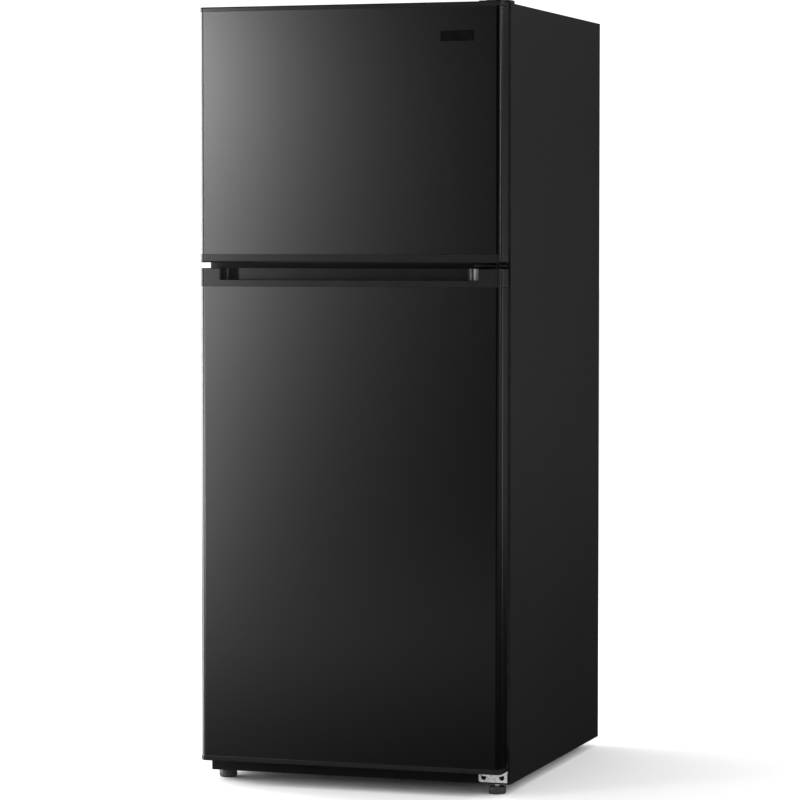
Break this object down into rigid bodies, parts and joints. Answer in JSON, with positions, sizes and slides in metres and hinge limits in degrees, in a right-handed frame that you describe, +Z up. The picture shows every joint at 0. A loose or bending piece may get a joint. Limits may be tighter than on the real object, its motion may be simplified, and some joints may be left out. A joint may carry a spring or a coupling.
{
  "type": "top freezer refrigerator",
  "caption": "Free-standing two-door refrigerator, freezer above, right-hand hinges, recessed finger grip, glass shelves, door bins and a crisper drawer.",
  "frame": {"origin": "on the floor, under the middle of the whole object's box", "axes": "+Z up, the doors face -Y, the hinges are on the +X side"},
  "size_m": [0.61, 0.724, 1.5102],
  "materials": {
    "cabinet_steel": "fine textured near-black paint",
    "door_steel": "satin dark grey metallic lacquer",
    "base_steel": "black paint",
    "zinc_steel": "zinc-coated sheet",
    "hinge_steel": "bright zinc plate",
    "cap_plastic": "dark grey moulded",
    "black_plastic": "black moulded",
    "badge_plastic": "gloss black, blank",
    "foam": "rigid foam",
    "white_plastic": "white moulded",
    "clear_plastic": "clear moulded",
    "lamp_plastic": "frosted",
    "lamp_glass": "lamp envelope",
    "seal_rubber": "dark grey flexible seal",
    "black_rubber": "matt black",
    "nylon": "natural nylon",
    "shelf_glass": "clear toughened glass",
    "wire": "white coated wire",
    "copper": "copper tube",
    "fin_aluminium": "bare fins",
    "machine_paint": "black stove enamel",
    "foot_plastic": "dark grey moulded, on a steel stud"
  },
  "bodies": {
    "cabinet": {"back_panel": "zinc_steel", "base_crossmember": "base_steel", "base_plate": "zinc_steel", "bottom_hinge": "hinge_steel", "cabinet_foam": "foam", "compressor": "machine_paint", "compressor_mounts": "black_rubber", "compressor_tray": "zinc_steel", "condenser_coil": "machine_paint", "control_housing": "white_plastic", "cord_gland": "black_plastic", "door_switch": "white_plastic", "drain_tube": "white_plastic", "drip_pan": "black_plastic", "evaporator": "fin_aluminium", "evaporator_cover": "white_plastic", "evaporator_fan_motor": "zinc_steel", "freezer_liner": "white_plastic", "freezer_shelf": "wire", "fridge_liner": "white_plastic", "glass_shelves": "shelf_glass", "hinge_screws": "hinge_steel", "lamp": "lamp_glass", "lamp_cover": "lamp_plastic", "left_side_panel": "cabinet_steel", "machine_cover": "zinc_steel", "middle_hinge": "base_steel", "mullion_rail": "cabinet_steel", "refrigerant_tubes": "copper", "right_side_panel": "cabinet_steel", "roller_axles": "zinc_steel", "shelf_trims": "white_plastic", "top_hinge": "base_steel", "top_hinge_cover": "black_plastic", "top_panel": "cabinet_steel"},
    "freezer_door": {"freezer_door_bins": "clear_plastic", "freezer_door_bottom_cap": "cap_plastic", "freezer_door_bushings": "nylon", "freezer_door_foam": "foam", "freezer_door_gasket": "seal_rubber", "freezer_door_liner": "white_plastic", "freezer_door_skin": "door_steel", "freezer_door_top_cap": "cap_plastic", "badge": "badge_plastic"},
    "fridge_door": {"fridge_door_bins": "clear_plastic", "fridge_door_bottom_cap": "cap_plastic", "fridge_door_bushings": "nylon", "fridge_door_foam": "foam", "fridge_door_gasket": "seal_rubber", "fridge_door_liner": "white_plastic", "fridge_door_skin": "door_steel", "fridge_door_top_cap": "cap_plastic"},
    "crisper": {"crisper_drawer": "clear_plastic"},
    "knob": {"thermostat_knob": "white_plastic"},
    "plunger": {"switch_plunger": "white_plastic"},
    "fan": {"evaporator_fan": "black_plastic"},
    "front_left_foot": {"left_foot": "foot_plastic"},
    "front_right_foot": {"right_foot": "foot_plastic"},
    "rear_left_roller": {"left_roller": "nylon"},
    "rear_right_roller": {"right_roller": "nylon"}
  },
  "joints": [
    {"name": "freezer_door_swing", "type": "hinge", "parent": "cabinet", "child": "freezer_door", "pos_m": [0.291, -0.336, 1.25], "axis": [0, 0, 1], "range_deg": [0, 130]},
    {"name": "fridge_door_swing", "type": "hinge", "parent": "cabinet", "child": "fridge_door", "pos_m": [0.291, -0.336, 0.5], "axis": [0, 0, 1], "range_deg": [0, 130]},
    {"name": "crisper_slide", "type": "slide", "parent": "cabinet", "child": "crisper", "axis": [0, -1, 0], "range_m": [0, 0.205]},
    {"name": "thermostat_turn", "type": "hinge", "parent": "cabinet", "child": "knob", "pos_m": [0.06, -0.155, 0.941], "axis": [0, -1, 0], "range_deg": [-140, 140]},
    {"name": "switch_press", "type": "slide", "parent": "cabinet", "child": "plunger", "axis": [0, -1, 0], "range_m": [0, 0.006]},
    {"name": "evaporator_fan_spin", "type": "hinge", "parent": "cabinet", "child": "fan", "pos_m": [0, 0.258, 1.345], "axis": [0, -1, 0], "continuous": true},
    {"name": "left_foot_screw", "type": "slide", "parent": "cabinet", "child": "front_left_foot", "axis": [0, 0, 1], "range_m": [-0.012, 0.003]},
    {"name": "right_foot_screw", "type": "slide", "parent": "cabinet", "child": "front_right_foot", "axis": [0, 0, 1], "range_m": [-0.012, 0.003]},
    {"name": "left_roller_spin", "type": "hinge", "parent": "cabinet", "child": "rear_left_roller", "pos_m": [-0.25, 0.3, 0.015], "axis": [1, 0, 0], "continuous": true},
    {"name": "right_roller_spin", "type": "hinge", "parent": "cabinet", "child": "rear_right_roller", "pos_m": [0.25, 0.3, 0.015], "axis": [1, 0, 0], "continuous": true}
  ],
  "couplings": [
    {"joint": "crisper_slide", "follows": "fridge_door_swing", "m_per_rad": 0.09},
    {"joint": "switch_press", "follows": "fridge_door_swing", "m_per_rad": 0.0026}
  ]
}
